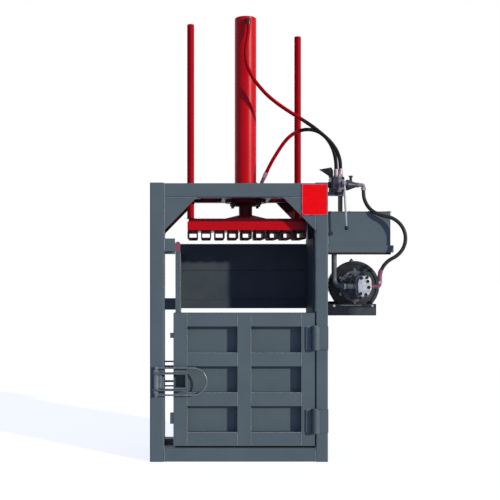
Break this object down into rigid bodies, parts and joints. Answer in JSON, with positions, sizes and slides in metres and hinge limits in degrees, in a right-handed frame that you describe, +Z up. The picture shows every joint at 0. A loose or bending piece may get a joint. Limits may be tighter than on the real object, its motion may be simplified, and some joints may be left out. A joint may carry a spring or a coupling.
{
  "type": "vertical baling press",
  "caption": "Floor-standing vertical hydraulic baling press with hinged front and rear doors, platen, ram, oil tank and motor pump.",
  "frame": {"origin": "on the cylinder's axis at floor level", "axes": "+Z up along the ram, -Y out of the front doors, +X towards the tank and motor"},
  "size_m": [1.4384, 0.57, 2.55],
  "materials": {
    "grey_paint": "semi-gloss",
    "red_paint": "gloss",
    "bright_red_paint": "semi-gloss",
    "worn_steel": "worn",
    "black_iron": "painted black",
    "cast_grey": "cast",
    "bright_steel": "plain",
    "dark_steel": "oiled",
    "black_rubber": "matt",
    "black_plastic": "matt"
  },
  "bodies": {
    "frame": {"back_panel": "grey_paint", "bottom_rail_front": "grey_paint", "bottom_rail_rear": "grey_paint", "bottom_side_rails": "grey_paint", "chamber_wall_left": "grey_paint", "chamber_wall_right": "grey_paint", "corner_gussets": "grey_paint", "crown_beam_front": "grey_paint", "crown_side_beams": "grey_paint", "floor_plate": "grey_paint", "floor_sleepers": "grey_paint", "hinge_post_leaves": "grey_paint", "motor_shelf": "grey_paint", "oil_tank": "grey_paint", "post_front_left": "grey_paint", "post_front_right": "grey_paint", "post_rear_left": "grey_paint", "post_rear_right": "grey_paint", "side_ties": "grey_paint", "tank_lid": "grey_paint", "tank_tray": "grey_paint", "valve_bracket": "grey_paint", "guide_carriers": "grey_paint", "crown_beam_rear": "red_paint", "crown_plate": "red_paint", "cylinder_barrel": "red_paint", "cylinder_flange": "red_paint", "pump_outlet_elbow": "red_paint", "latch_keepers": "worn_steel", "hinge_pins": "worn_steel", "flange_bolts": "bright_steel", "hose_ferrules": "bright_steel", "cylinder_gland": "dark_steel", "motor_end_shield": "black_iron", "motor_fan_cover": "black_iron", "motor_housing": "black_iron", "pump_adapter": "black_iron", "valve_body": "black_iron", "hose_lower": "black_rubber", "hose_pressure": "black_rubber", "hose_upper": "black_rubber", "suction_pipe": "black_rubber", "filler_cap": "black_plastic", "valve_guard": "black_plastic", "cover_plate": "bright_red_paint", "port_elbows": "red_paint", "pump_body": "cast_grey", "relief_valve": "cast_grey"},
    "platen": {"piston_rod": "dark_steel", "piston": "dark_steel", "platen_frame": "red_paint", "platen_top_plate": "red_paint", "strap_channels": "red_paint", "guide_rods": "red_paint"},
    "front_door": {"front_door": "grey_paint"},
    "front_latch": {"front_latch": "worn_steel"},
    "rear_door": {"rear_door": "grey_paint"},
    "rear_latch": {"rear_latch": "worn_steel"},
    "valve_lever": {"valve_lever": "bright_steel", "lever_knob": "black_plastic"}
  },
  "joints": [
    {"name": "platen_slide", "type": "slide", "parent": "frame", "child": "platen", "axis": [0, 0, -1], "range_m": [0, 0.8]},
    {"name": "front_door_hinge", "type": "hinge", "parent": "frame", "child": "front_door", "pos_m": [0.3795, -0.262, 0.45], "axis": [0, 0, 1], "range_deg": [0, 110]},
    {"name": "front_latch_hinge", "type": "hinge", "parent": "front_door", "child": "front_latch", "pos_m": [-0.51, -0.2625, 0.453], "axis": [0, 0, -1], "range_deg": [0, 120]},
    {"name": "rear_door_hinge", "type": "hinge", "parent": "frame", "child": "rear_door", "pos_m": [0.3795, 0.262, 0.45], "axis": [0, 0, -1], "range_deg": [0, 110]},
    {"name": "rear_latch_hinge", "type": "hinge", "parent": "rear_door", "child": "rear_latch", "pos_m": [-0.516, 0.2625, 0.433], "axis": [0, 0, 1], "range_deg": [0, 120]},
    {"name": "valve_lever_pivot", "type": "hinge", "parent": "frame", "child": "valve_lever", "pos_m": [0.54, -0.262, 1.558], "axis": [1, 0, 0], "range_deg": [-12, 12], "stiffness_Nm_per_rad": 2}
  ]
}
